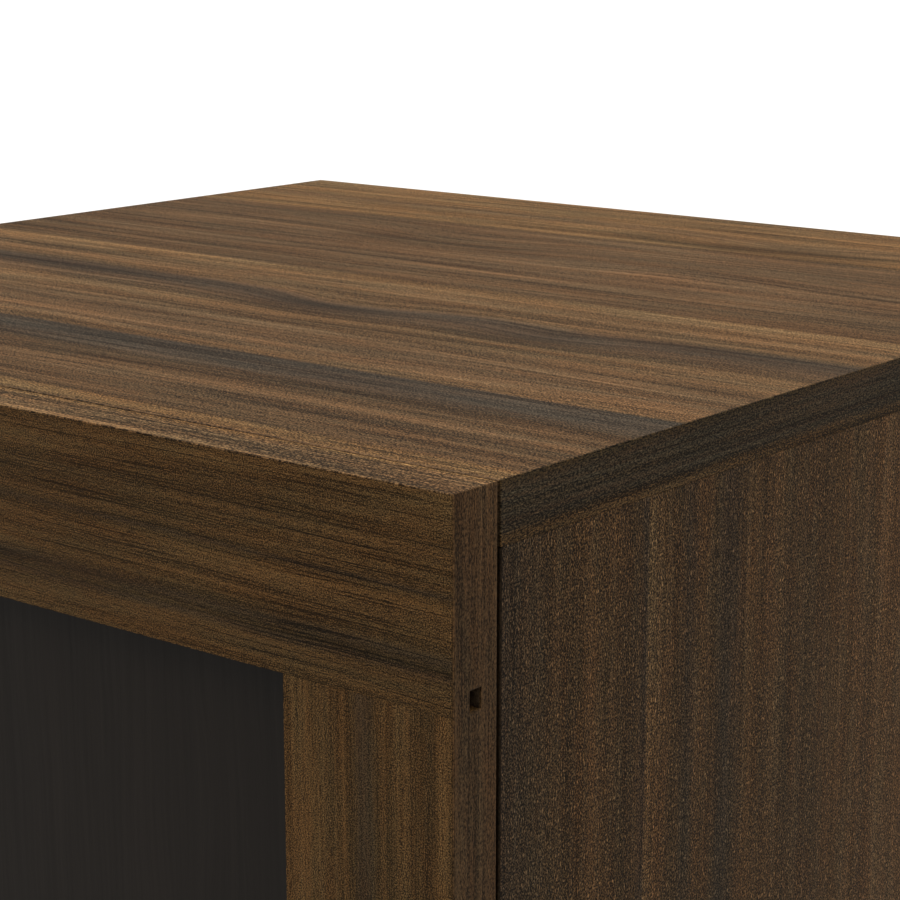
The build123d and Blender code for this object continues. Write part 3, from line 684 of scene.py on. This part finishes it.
# %% [markdown]
# ## Planed boards
# A board is a cube stretched to the size that the frame gives and then lightly broken along its
# edges, because no real arris is perfectly sharp. The break is a bevel of a fraction of a
# millimetre in two steps: too small to see as a shape, yet it gives each edge its thin line of
# light or shadow. Where a board has a groove, its section is drawn once and pushed along.

# %% Board helpers
def arrises(bm):
    """The edges where two faces of a piece turn a corner."""
    return [edge for edge in bm.edges if edge.is_manifold and edge.calc_face_angle() > 0.5]


def break_edges(bm, size, segments=2, chosen=None):
    """Rounds the arrises, or only the chosen ones."""
    bmesh.ops.bevel(bm, geom=chosen or arrises(bm), offset=size, offset_type="OFFSET", segments=segments,
                    profile=0.5, affect="EDGES", material=-1, clamp_overlap=True)


def add_block(bm, low, high):
    """A box between two corners, as a new island in the mesh."""
    made = bmesh.ops.create_cube(bm, size=1.0)["verts"]
    bmesh.ops.scale(bm, vec=high - low, verts=made)
    bmesh.ops.translate(bm, vec=(low + high) / 2, verts=made)
    return made


def finish_piece(bm, name, body, finishes, replaced, raw=None):
    """Turns the mesh into an object that rides on a body and stands for a CAD node."""
    if raw is not None:
        for face in bm.faces:
            face.material_index = 1 if raw(face) else 0
    open_edges = sum(not edge.is_manifold for edge in bm.edges)
    data = bpy.data.meshes.new(name)
    bm.to_mesh(data)
    bm.free()
    for finish in finishes:
        data.materials.append(finish)
    piece = bpy.data.objects.new(name, data)
    scene.collection.objects.link(piece)
    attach(piece, body)
    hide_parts(replaced)
    print(f"{name}: {len(data.polygons)} faces, {open_edges} open edges")


BOARD_BREAK = 0.12 * MM
BAND_BREAK = 0.20 * MM
ROUND_BREAK = 0.40 * MM


# %% [markdown]
# ## Pockets and windows
# The back panel slides in a groove that stops short of the boards' ends. To cut such a pocket the
# mesh is sliced along the pocket's four sides, the small face between the slices is picked out, and
# it is pushed into the wood. A window is the same with both faces taken away and their rims bridged.

# %% Cutting helpers
def slice_mesh(bm, axis, places):
    """Adds a line of edges all round the mesh at each place along one axis."""
    normal = Vector((0, 0, 0))
    normal[axis] = 1.0
    for place in places:
        geometry = bm.verts[:] + bm.edges[:] + bm.faces[:]
        bmesh.ops.bisect_plane(bm, geom=geometry, dist=1e-7, plane_co=normal * place, plane_no=normal)


def faces_between(bm, axis, low, high, sign):
    """The faces that look along sign * axis with their centres between two corners."""
    others = [number for number in range(3) if number != axis]
    picked = []
    for face in bm.faces:
        centre = face.calc_center_median()
        inside = all(low[n] < centre[n] < high[n] for n in others)
        if inside and face.normal[axis] * sign > 0.9:
            picked.append(face)
    return picked


def cut_pocket(bm, axis, sign, low, high, depth):
    """Sinks the part of a face between low and high into the wood."""
    for number in range(3):
        if number != axis:
            slice_mesh(bm, number, (low[number], high[number]))
    sunk = bmesh.ops.extrude_discrete_faces(bm, faces=faces_between(bm, axis, low, high, sign))["faces"]
    push = Vector((0, 0, 0))
    push[axis] = -sign * depth
    moved = list({vert for face in sunk for vert in face.verts})
    bmesh.ops.translate(bm, vec=push, verts=moved)


def cut_window(bm, axis, low, high):
    """Opens a hole through a strip, along one axis."""
    for number in range(3):
        if number != axis:
            slice_mesh(bm, number, (low[number], high[number]))
    gone = faces_between(bm, axis, low, high, 1) + faces_between(bm, axis, low, high, -1)
    rims = list({edge for face in gone for edge in face.edges})
    bmesh.ops.delete(bm, geom=gone, context="FACES_ONLY")
    bmesh.ops.bridge_loops(bm, edges=rims)


# %% Carcass boards
back_low, back_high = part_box("back_panel")
groove_slack = 0.1 * MM
edge_slack = 1.0 * MM
groove_low = back_low - Vector((edge_slack, groove_slack, edge_slack))
groove_high = back_high + Vector((edge_slack, groove_slack, edge_slack))
carcass_boards = {
    "top_panel": (2, -1, top_finish),
    "base_panel": (2, 1, base_finish),
    "side_panel_left": (0, 1, left_finish),
    "side_panel_right": (0, -1, side_finish),
}
for node, (axis, sign, finish) in carcass_boards.items():
    low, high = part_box(node)
    inner = (high if sign > 0 else low)[axis]
    reach = abs(inner - (groove_high if sign > 0 else groove_low)[axis])
    reach = min(reach, abs(inner - (groove_low if sign > 0 else groove_high)[axis]))
    bm = bmesh.new()
    add_block(bm, low, high)
    cut_pocket(bm, axis, sign, groove_low, groove_high, reach)
    break_edges(bm, BOARD_BREAK)
    back = high.y

    def unlaminated(face, back=back, axis=axis, low=low, high=high):
        centre = face.calc_center_median()
        sunk = low[axis] + MM < centre[axis] < high[axis] - MM
        return centre.y > back - 0.05 * MM or (sunk and groove_low.y < centre.y < groove_high.y)

    finish_piece(bm, "board_" + node, "carcass", [finish, chip_finish], node, unlaminated)

# %% [markdown]
# ## Edge bands
# A band is a half-millimetre ribbon glued over a board's edge. The bands are pieces of their own,
# because that is how they are bought and because their print never lines up with the board's. Only
# their outer edges are rounded, by the scraper that trims them.

# %% Carcass bands
band_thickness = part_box("top_panel")[0].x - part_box("top_panel_side_bands")[0].x
print("Edge band thickness in mm:", round(band_thickness / MM, 3))
for node, finish in (("top_panel_side_bands", top_edge_finish), ("base_panel_side_bands", base_edge_finish)):
    low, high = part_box(node)
    bm = bmesh.new()
    add_block(bm, low, Vector((low.x + band_thickness, high.y, high.z)))
    add_block(bm, Vector((high.x - band_thickness, low.y, low.z)), high)
    break_edges(bm, BAND_BREAK)
    finish_piece(bm, "strip_" + node, "carcass", [finish], node)

front_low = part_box("carcass_front_bands")[0]
bm = bmesh.new()
for node in carcass_boards:
    low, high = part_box(node)
    add_block(bm, Vector((low.x, front_low.y, low.z)), Vector((high.x, low.y, high.z)))
outer = [e for e in arrises(bm) if all(v.co.y < front_low.y + 0.01 * MM for v in e.verts)]
break_edges(bm, ROUND_BREAK, 4, outer)
upright_low, upright_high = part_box("side_panel_right")


def is_upright(face):
    return upright_low.z < face.calc_center_median().z < upright_high.z


# The front bands' dark finishes are painted shade for the gaps behind the door.
finish_piece(bm, "strip_carcass_front_bands", "carcass", [front_band_shade_finish, upright_band_shade_finish],
             "carcass_front_bands", is_upright)

# %% Back panel
bm = bmesh.new()
add_block(bm, back_low, back_high)
break_edges(bm, BOARD_BREAK)
finish_piece(bm, "board_back_panel", "carcass", [STOCK["back_board"]], "back_panel")

# %% [markdown]
# ## Door frame
# The rails run the full width and the stiles stand between them. Both have a groove along their
# inner edge for the black panel, and the rails' grooves run out through the door's sides, where
# they leave a small dark slot in the edge band. A grooved piece is easiest as a moulding: draw the
# U-shaped section as one face, extrude it, and slide the copy to the far end.

# %% Rails and stiles
door_panel_low, door_panel_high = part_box("door_panel")
groove_front_y = door_panel_low.y - groove_slack
groove_back_y = door_panel_high.y + groove_slack


def moulding(name, node, section_axis, inner_sign, length_axis, groove_floor, finishes):
    """A grooved stick. Its section lies in Y and section_axis and is pushed along length_axis."""
    low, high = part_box(node)
    inner = (high if inner_sign > 0 else low)[section_axis]
    outer = (low if inner_sign > 0 else high)[section_axis]
    outline = [
        (low.y, outer), (high.y, outer), (high.y, inner), (groove_back_y, inner),
        (groove_back_y, groove_floor), (groove_front_y, groove_floor), (groove_front_y, inner),
        (low.y, inner),
    ]
    bm = bmesh.new()
    verts = []
    for y, other in outline:
        point = Vector((0, y, 0))
        point[section_axis] = other
        point[length_axis] = low[length_axis]
        verts.append(bm.verts.new(point))
    start = bm.faces.new(verts)
    grown = bmesh.ops.extrude_face_region(bm, geom=[start], use_keep_orig=True)["geom"]
    step = Vector((0, 0, 0))
    step[length_axis] = high[length_axis] - low[length_axis]
    bmesh.ops.translate(bm, vec=step, verts=[g for g in grown if isinstance(g, bmesh.types.BMVert)])
    bmesh.ops.recalc_face_normals(bm, faces=bm.faces[:])
    break_edges(bm, BOARD_BREAK)

    def in_groove(face):
        centre = face.calc_center_median()
        shallow = abs(centre[section_axis] - inner) < 0.05 * MM
        in_slot = groove_front_y - 0.05 * MM < centre.y < groove_back_y + 0.05 * MM
        return in_slot and not shallow and abs(face.normal[length_axis]) < 0.5

    finish_piece(bm, name, "door", finishes, node, in_groove)


moulding("rail_top", "door_top_rail", 2, -1, 0, door_panel_high.z + edge_slack, [rail_finish, groove_shade_finish])
moulding("rail_bottom", "door_bottom_rail", 2, 1, 0, door_panel_low.z - edge_slack,
         [low_rail_finish, groove_shade_finish])
moulding("stile_right", "door_stile_right", 0, -1, 2, door_panel_high.x + edge_slack,
         [stile_finish, groove_shade_finish])
moulding("stile_left", "door_stile_left", 0, 1, 2, door_panel_low.x - edge_slack,
         [left_stile_finish, groove_shade_finish])

# %% Door bands
slots = [
    (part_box("door_top_rail")[0].z, door_panel_high.z + edge_slack),
    (door_panel_low.z - edge_slack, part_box("door_bottom_rail")[1].z),
]
for node, finish in (("door_band_right", band_finish), ("door_band_left", left_band_finish)):
    low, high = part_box(node)
    bm = bmesh.new()
    add_block(bm, low, high)
    for bottom, top in slots:
        cut_window(bm, 0, Vector((low.x, groove_front_y, bottom)), Vector((high.x, groove_back_y, top)))
    break_edges(bm, BAND_BREAK)
    finish_piece(bm, "strip_" + node, "door", [finish], node)
for node, finish in (("door_band_top", door_top_finish), ("door_band_bottom", base_edge_finish)):
    low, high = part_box(node)
    bm = bmesh.new()
    add_block(bm, low, high)
    break_edges(bm, BAND_BREAK)
    finish_piece(bm, "strip_" + node, "door", [finish], node)

# %% Black panel
bm = bmesh.new()
add_block(bm, door_panel_low, door_panel_high)
break_edges(bm, BOARD_BREAK)
finish_piece(bm, "board_door_panel", "door", [black_finish], "door_panel")

# %% [markdown]
# ## Turned and pressed hardware
# The metalwork and the plastic parts are small, but they are what a hand and an eye meet first when
# the door opens. Most are turned, so one helper spins a profile of (radius, distance) pairs about an
# axis. Flat ones are pressed from sheet, so a second helper fills an outline with its holes left out,
# extrudes it and narrows each hole at the back for a countersunk screw. Several equal pieces share
# one CAD node, and a third helper asks that node's mesh where each of its solids is.

# %% Hardware helpers
def solids_in(node):
    """The boxes of the separate solids in a CAD node, in a fixed order."""
    source = frame["nodes"][node]
    bm = bmesh.new()
    bm.from_mesh(source.data)
    bm.transform(source.matrix_world)
    bmesh.ops.remove_doubles(bm, verts=bm.verts[:], dist=1e-6)
    waiting = set(bm.verts)
    boxes = []
    while waiting:
        reached = [waiting.pop()]
        for vert in reached:
            for edge in vert.link_edges:
                other = edge.other_vert(vert)
                if other in waiting:
                    waiting.remove(other)
                    reached.append(other)
        low = Vector([min(vert.co[n] for vert in reached) for n in range(3)])
        high = Vector([max(vert.co[n] for vert in reached) for n in range(3)])
        boxes.append((low, high))
    bm.free()
    return sorted(boxes, key=lambda box: [round(v, 4) for v in box[0]])


def turn(bm, start, direction, profile, ring=False, segments=64):
    """Spins a profile in millimetres about a line. A ring joins its last point to its first."""
    direction = Vector(direction)
    side = direction.orthogonal().normalized()
    verts = [bm.verts.new(start + (direction * far + side * radius) * MM) for radius, far in profile]
    edges = [bm.edges.new(pair) for pair in zip(verts, verts[1:])]
    if ring:
        edges.append(bm.edges.new((verts[-1], verts[0])))
    bmesh.ops.spin(bm, geom=verts + edges, cent=start, axis=direction, angle=2 * math.pi,
                   steps=segments, use_merge=True)
    if not ring:
        bmesh.ops.holes_fill(bm, edges=[edge for edge in bm.edges if edge.is_boundary])


def of_kind(parts, kind):
    """The vertices, edges or faces among an operator's results."""
    return [part for part in parts if isinstance(part, kind)]


def press(bm, axis, face, back, outline, holes=()):
    """A plate between two levels of an axis. A hole is its centre, its radius at face and at back."""
    first, second = [number for number in range(3) if number != axis]
    up = Vector((0, 0, 0))
    up[axis] = 1.0
    corners = []
    for place in outline:
        point = up * face
        point[first], point[second] = place
        corners.append(bm.verts.new(point))
    edges = [bm.edges.new((corners[step - 1], corners[step])) for step in range(len(corners))]
    tilt = up.to_track_quat("Z", "Y").to_matrix().to_4x4()
    centres = [hole[0] + up * (face - hole[0][axis]) for hole in holes]
    for centre, (_, radius, _) in zip(centres, holes):
        matrix = Matrix.Translation(centre) @ tilt
        rim = bmesh.ops.create_circle(bm, segments=40, radius=radius * MM, matrix=matrix)["verts"]
        edges += [edge for edge in bm.edges if edge.verts[0] in rim]
    filled = bmesh.ops.triangle_fill(bm, use_beauty=True, use_dissolve=False, edges=edges)["geom"]
    sheet = of_kind(filled, bmesh.types.BMFace)
    grown = bmesh.ops.extrude_face_region(bm, geom=sheet, use_keep_orig=True)["geom"]
    moved = of_kind(grown, bmesh.types.BMVert)
    for centre, (_, radius, back_radius) in zip(centres, holes):
        rim = [vert for vert in moved if (vert.co - centre).length < 1.01 * radius * MM]
        bmesh.ops.scale(bm, vec=(back_radius / radius,) * 3, space=Matrix.Translation(-centre), verts=rim)
    bmesh.ops.translate(bm, vec=up * (back - face), verts=moved)


def finish_hardware(bm, name, body, replaced, softened):
    """Rounds a piece's arrises, shades its curves as curves and hands it over."""
    bmesh.ops.recalc_face_normals(bm, faces=bm.faces[:])
    if softened:
        break_edges(bm, softened * MM, 3)
    for face in bm.faces:
        face.smooth = len(face.verts) == 4
    for edge in bm.edges:
        edge.smooth = edge.calc_face_angle(0.0) < 0.6
    finish_piece(bm, name, body, [STOCK[slot_of[replaced]]], replaced)


# %% [markdown]
# ## Knob
# The knob is turned from one bar: a flat foot, a slim waist for the fingertips, and a broad head
# with a soft shoulder. Its profile starts inside the screw's bore, so the hollow is there as well.

# %% Knob
knob_low, knob_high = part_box("knob")
knob_centre = (knob_low + knob_high) / 2
knob_foot = Vector((knob_centre.x, knob_high.y, knob_centre.z))
knob_profile = [
    (1.0, 9.2), (2.05, 9.0), (2.05, 0.3), (2.35, 0.0), (7.6, 0.0), (7.9, 0.12), (8.0, 0.4), (8.0, 1.3),
    (7.85, 1.7), (7.3, 2.4), (6.4, 3.4), (5.7, 4.5), (5.2, 5.8), (5.0, 7.2), (5.05, 8.6), (5.5, 10.0),
    (6.5, 11.4), (8.0, 12.9), (9.8, 14.4), (11.4, 15.7), (12.5, 16.9), (12.93, 18.0), (12.99, 18.9),
    (12.8, 19.8), (12.3, 20.6), (11.4, 21.2), (10.3, 21.55), (8.6, 21.8), (6.0, 21.95), (3.0, 22.0),
]
bm = bmesh.new()
turn(bm, knob_foot, (0, -1, 0), knob_profile, segments=96)
finish_hardware(bm, "turned_knob", "door", "knob", 0)

# %% [markdown]
# ## Hinges
# The larger leaf is a C of sheet on the side panel's edge, the smaller leaf lies in its window when
# the door is shut, and both are rolled round one pin. Each leaf stops inside its knuckle's wall.

# %% Hinges
KNUCKLE, BORE, WALL = 2.4, 1.25, 1.6
COUNTERSINK, CLEARANCE = 2.45, 1.35
pins = solids_in("hinge_pins")
carcass_screws = solids_in("hinge_carcass_screws")
door_screws = solids_in("hinge_door_screws")


def centres_between(boxes, low, high):
    """The middles of the boxes that lie between two heights."""
    middles = [(a + b) / 2 for a, b in boxes]
    return [middle for middle in middles if low.z < middle.z < high.z]


def knuckle(bm, place, low, high):
    turn(bm, Vector((place.x, place.y, low)), (0, 0, 1),
         [(BORE, 0), (KNUCKLE, 0), (KNUCKLE, (high - low) / MM), (BORE, (high - low) / MM)], ring=True)


leaf_bm, door_leaf_bm, pin_bm = bmesh.new(), bmesh.new(), bmesh.new()
window_gap = 0.3 * MM
leaves = zip(pins, solids_in("hinge_carcass_leaves"), solids_in("hinge_door_leaves"))
for (pin_low, pin_high), (low, high), (door_low, door_high) in leaves:
    pin = (pin_low + pin_high) / 2
    inside = pin.x + WALL * MM
    bottom, top = door_low.z - window_gap, door_high.z + window_gap
    window = door_high.x + window_gap
    holes = [(centre, COUNTERSINK, CLEARANCE) for centre in centres_between(carcass_screws, low, high)]
    press(leaf_bm, 1, carcass_screws[0][0].y, front_low.y, [
        (inside, high.z), (high.x, high.z), (high.x, low.z), (inside, low.z),
        (inside, bottom), (window, bottom), (window, top), (inside, top),
    ], holes)
    knuckle(leaf_bm, pin, low.z, bottom)
    knuckle(leaf_bm, pin, top, high.z)
    centres = centres_between(door_screws, door_low, door_high)
    holes = [(centre, COUNTERSINK, CLEARANCE) for centre in centres]
    press(door_leaf_bm, 1, door_screws[0][1].y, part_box("door_stile_left")[1].y, [
        (inside, door_high.z), (door_high.x, door_high.z), (door_high.x, door_low.z), (inside, door_low.z),
    ], holes)
    knuckle(door_leaf_bm, pin, door_low.z, door_high.z)
    length = (pin_high.z - pin_low.z) / MM
    turn(pin_bm, Vector((pin.x, pin.y, pin_low.z)), (0, 0, 1), [
        (0.9, 0.0), (1.5, 0.1), (1.8, 0.3), (1.9, 0.6), (1.2, 0.6), (1.2, length - 0.6),
        (1.9, length - 0.6), (1.8, length - 0.3), (1.5, length - 0.1), (0.9, length),
    ], segments=40)
finish_hardware(leaf_bm, "pressed_carcass_leaves", "carcass", "hinge_carcass_leaves", 0.12)
finish_hardware(door_leaf_bm, "pressed_door_leaves", "door", "hinge_door_leaves", 0.12)
finish_hardware(pin_bm, "turned_hinge_pins", "carcass", "hinge_pins", 0)

# %% [markdown]
# ## Magnetic catch
# The catch is a moulded case with two ears. Two steel poles with a ferrite bar between them sit in
# its mouth, and the door carries a small steel plate for them to hold.

# %% Catch
case_low, case_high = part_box("catch_case")
pocket_low, pocket_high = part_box("catch_pole_plates")
case_wall = pocket_low.z - case_low.z
body_low = Vector((pocket_low.x - case_wall, case_low.y, case_low.z))
body_high = Vector((pocket_high.x + case_wall, case_high.y, case_high.z))
ear_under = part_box("catch_screws")[0].z
bm = bmesh.new()
add_block(bm, body_low, body_high)
cut_pocket(bm, 1, -1, pocket_low, pocket_high, pocket_high.y - case_low.y)
screws = [(low + high) / 2 for low, high in solids_in("catch_screws")]
for left, right in ((case_low.x, body_low.x), (body_high.x, case_high.x)):
    holes = [(centre, 3.05, 1.55) for centre in screws if left < centre.x < right]
    press(bm, 2, ear_under, case_high.z, [
        (left, case_low.y), (right, case_low.y), (right, case_high.y), (left, case_high.y),
    ], holes)
finish_hardware(bm, "moulded_catch_case", "carcass", "catch_case", 0.25)
plain_blocks = (("sheet_catch_poles", "catch_pole_plates", 0.10), ("pressed_magnet", "catch_magnet", 0.3))
for name, node, softened in plain_blocks:
    bm = bmesh.new()
    for low, high in solids_in(node):
        add_block(bm, low, high)
    finish_hardware(bm, name, "carcass", node, softened)
low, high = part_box("catch_strike_plate")
strike_screw_low, strike_screw_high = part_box("catch_strike_screw")
bm = bmesh.new()
press(bm, 1, high.y, low.y, [(low.x, low.z), (high.x, low.z), (high.x, high.z), (low.x, high.z)],
      [((strike_screw_low + strike_screw_high) / 2, 3.05, 2.05)])
finish_hardware(bm, "pressed_strike_plate", "door", "catch_strike_plate", 0.15)

# %% [markdown]
# ## Covers, bumpers and glides
# Each cam is hidden by a thin cap with a rolled rim, the door lands on two clear domes, and the unit
# stands on four plastic glides whose nails are sunk into their undersides.

# %% Covers, bumpers and glides
bm = bmesh.new()
for low, high in solids_in("cam_covers"):
    centre = (low + high) / 2
    side = 1 if centre.x < 0 else -1
    start = Vector((low.x if side > 0 else high.x, centre.y, centre.z))
    turn(bm, start, (side, 0, 0), [
        (8.3, 0.0), (8.5, 0.1), (8.5, 0.4), (8.35, 0.65), (8.0, 0.78), (7.4, 0.8), (7.0, 0.7), (6.8, 0.62),
        (2.2, 0.62), (2.0, 0.5), (1.6, 0.42),
    ], segments=48)
finish_hardware(bm, "moulded_cam_covers", "carcass", "cam_covers", 0)
bm = bmesh.new()
for low, high in solids_in("door_bumpers"):
    centre = (low + high) / 2
    turn(bm, Vector((centre.x, low.y, centre.z)), (0, 1, 0), [
        (3.99, 0.0), (3.99, 0.35), (3.85, 0.6), (3.4, 0.85), (2.6, 1.0), (1.4, 1.08), (0.5, 1.1),
    ], segments=48)
finish_hardware(bm, "clear_bumpers", "door", "door_bumpers", 0)
bm = bmesh.new()
for low, high in solids_in("floor_glides"):
    centre = (low + high) / 2
    turn(bm, Vector((centre.x, centre.y, low.z)), (0, 0, 1), [
        (0.95, 4.0), (0.95, 1.8), (2.65, 1.8), (2.65, 0.35), (3.0, 0.0), (8.7, 0.0), (9.4, 0.2), (9.85, 0.7),
        (10.0, 1.3), (10.0, 3.8), (9.8, 4.0),
    ], ring=True, segments=56)
finish_hardware(bm, "moulded_glides", "carcass", "floor_glides", 0)
